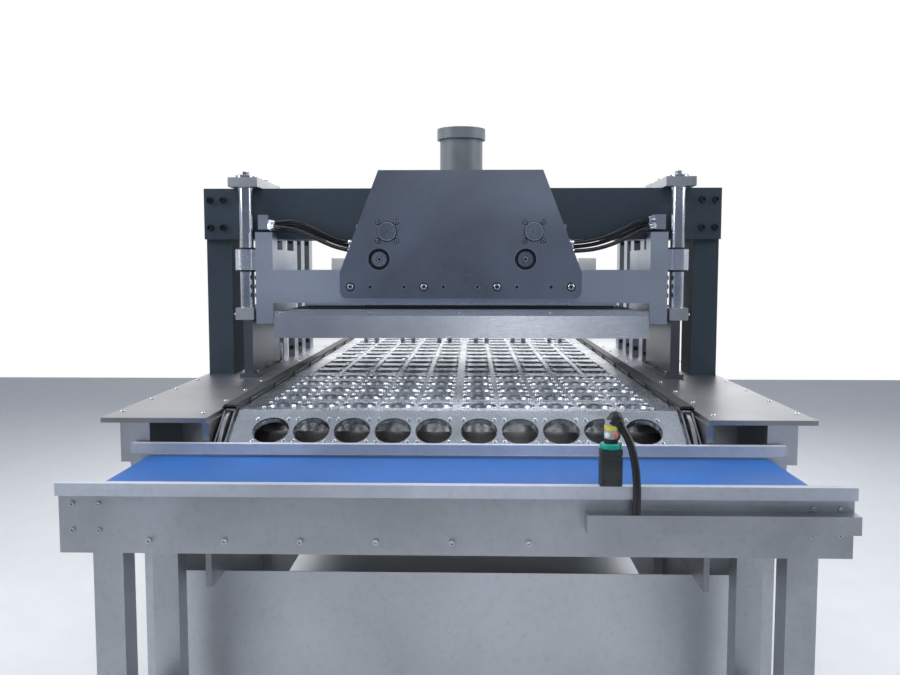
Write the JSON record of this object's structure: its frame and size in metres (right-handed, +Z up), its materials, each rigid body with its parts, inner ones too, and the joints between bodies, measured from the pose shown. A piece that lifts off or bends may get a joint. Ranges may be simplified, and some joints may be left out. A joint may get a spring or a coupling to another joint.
{
  "type": "cup filling and sealing machine",
  "caption": "Stainless cup filling and sealing machine: perforated slat conveyor on hexagonal chain wheels, lifting sealing press on guide pillars, cross belt at the outfeed.",
  "frame": {"origin": "on the floor, under the middle of the bounding box", "axes": "+X to the right seen from the outfeed end, +Y along the line away from the outfeed end, +Z up"},
  "size_m": [1.44, 2.538, 1.62],
  "materials": {
    "brushed_stainless": "fine straight brushing, cool and slightly worn",
    "table_stainless": "rolled sheet with soft smears",
    "frame_stainless": "bead blasted, matt",
    "panel_stainless": "brushed sheet",
    "bright_stainless": "bright, lightly brushed",
    "tray_stainless": "brushed, brownish with product film",
    "chain_steel": "plain steel with a film of grease",
    "cast_grey": "painted casting, satin",
    "dark_guide": "dark wear strip, satin",
    "blue_belt": "woven conveyor belt, matt",
    "dark_beam": "dark blue-grey, satin",
    "head_aluminium": "milled plate, satin, blue-grey",
    "black_insulation": "black board, matt",
    "sensor_grey": "moulded grey housing",
    "cable_black": "soft black sheath",
    "hose_black": "smooth black tube",
    "white_plastic": "white moulded housing",
    "chrome_rod": "ground and polished"
  },
  "bodies": {
    "root": {"bearings": "cast_grey", "chain_guides": "dark_guide", "chain_tracks": "dark_guide", "chain_wheels": "chain_steel", "closing_panels": "panel_stainless", "cross_members": "frame_stainless", "dosing_row": "bright_stainless", "gantry_beam": "dark_beam", "gantry_posts": "dark_beam", "guide_pillars": "chrome_rod", "hose_blocks": "bright_stainless", "hose_left_lower": "hose_black", "hose_left_middle": "hose_black", "hose_left_upper": "hose_black", "hose_right_lower": "hose_black", "hose_right_middle": "hose_black", "hose_right_upper": "hose_black", "inner_tray": "tray_stainless", "legs": "frame_stainless", "levelling_feet": "frame_stainless", "lift_cylinder": "cast_grey", "long_beams": "frame_stainless", "outfeed_bed_and_rolls": "frame_stainless", "outfeed_belt": "blue_belt", "outfeed_channels": "frame_stainless", "outfeed_guides": "bright_stainless", "outfeed_stand": "frame_stainless", "pillar_mounts": "frame_stainless", "pin_row": "bright_stainless", "press_stands": "table_stainless", "sensor": "sensor_grey", "sensor_cable": "cable_black", "sensor_plug": "cable_black", "side_frames": "table_stainless", "slat_chains": "chain_steel", "slats_front_turn": "brushed_stainless", "slats_near": "brushed_stainless", "slats_return": "brushed_stainless", "slats_top": "brushed_stainless", "station_columns": "dark_beam", "station_top_plates": "dark_beam", "stop_post": "chrome_rod", "table_plates": "table_stainless", "valve_boxes": "white_plastic", "wheel_shafts": "chain_steel"},
    "press_head": {"head_crossbars": "head_aluminium", "head_end_plates": "head_aluminium", "pillar_bushings": "bright_stainless", "head_front_plate": "head_aluminium", "front_plate_caps": "bright_stainless", "head_plates": "bright_stainless", "insulation_plate": "black_insulation", "heater_plate": "head_aluminium", "sealing_heads": "bright_stainless", "lower_guard": "bright_stainless", "lift_rod": "chrome_rod"}
  },
  "joints": [
    {"name": "press_lift", "type": "slide", "parent": "root", "child": "press_head", "axis": [0, 0, 1], "range_m": [-0.09, 0]}
  ]
}
